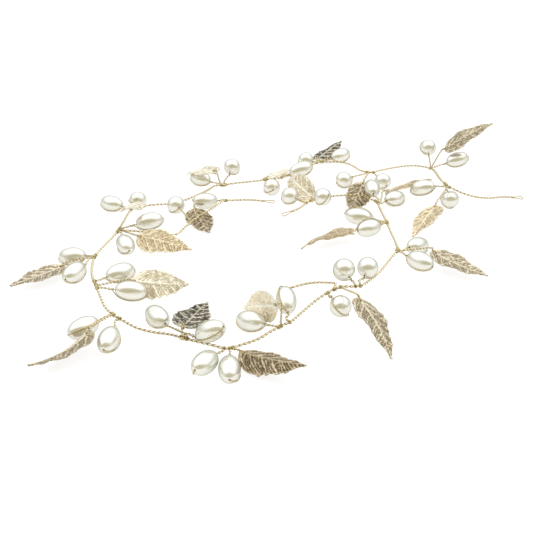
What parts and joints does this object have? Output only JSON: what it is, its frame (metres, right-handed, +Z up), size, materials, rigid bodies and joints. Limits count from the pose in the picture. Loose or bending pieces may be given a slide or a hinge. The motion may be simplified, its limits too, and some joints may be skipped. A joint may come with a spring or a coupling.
{
  "type": "hair chain",
  "caption": "Hair vine of twisted gold wire with sprigs of cream pearls and embossed gold leaves, laid out in a loose loop, with small eyes at its ends for hairpins.",
  "frame": {"origin": "centre of the outer box on the surface that the vine lies on", "axes": "+Z up from the surface, +X to the right of the layout, +Y away from the viewer"},
  "size_m": [0.2199, 0.2452, 0.0281],
  "materials": {
    "gold_wire": "bright drawn wire",
    "gold_leaf": "embossed, satin champagne gold",
    "pearl": "pearlescent cream coating"
  },
  "bodies": {
    "root": {"main_strand": "gold_wire", "side_strand": "gold_wire", "side_tail": "gold_wire", "branch_wires_1": "gold_wire", "branch_wires_2": "gold_wire", "branch_wires_3": "gold_wire", "branch_wires_4": "gold_wire", "leaf_01": "gold_leaf", "leaf_02": "gold_leaf", "leaf_03": "gold_leaf", "leaf_04": "gold_leaf", "leaf_05": "gold_leaf", "leaf_06": "gold_leaf", "leaf_07": "gold_leaf", "leaf_08": "gold_leaf", "leaf_09": "gold_leaf", "leaf_10": "gold_leaf", "leaf_11": "gold_leaf", "leaf_12": "gold_leaf", "leaf_13": "gold_leaf", "leaf_14": "gold_leaf", "leaf_15": "gold_leaf", "leaf_16": "gold_leaf", "leaf_17": "gold_leaf", "leaf_18": "gold_leaf", "leaf_19": "gold_leaf", "leaf_20": "gold_leaf", "pearls_01": "pearl", "pearls_02": "pearl", "pearls_03": "pearl", "pearls_04": "pearl", "pearls_05": "pearl", "pearls_06": "pearl", "pearls_07": "pearl", "pearls_08": "pearl", "pearls_09": "pearl", "pearls_10": "pearl", "pearls_11": "pearl", "pearls_12": "pearl", "pearls_13": "pearl", "pearls_14": "pearl", "pearls_15": "pearl", "pearls_16": "pearl", "pearls_17": "pearl", "pearls_18": "pearl", "pearls_19": "pearl", "pearls_20": "pearl"}
  },
  "joints": []
}
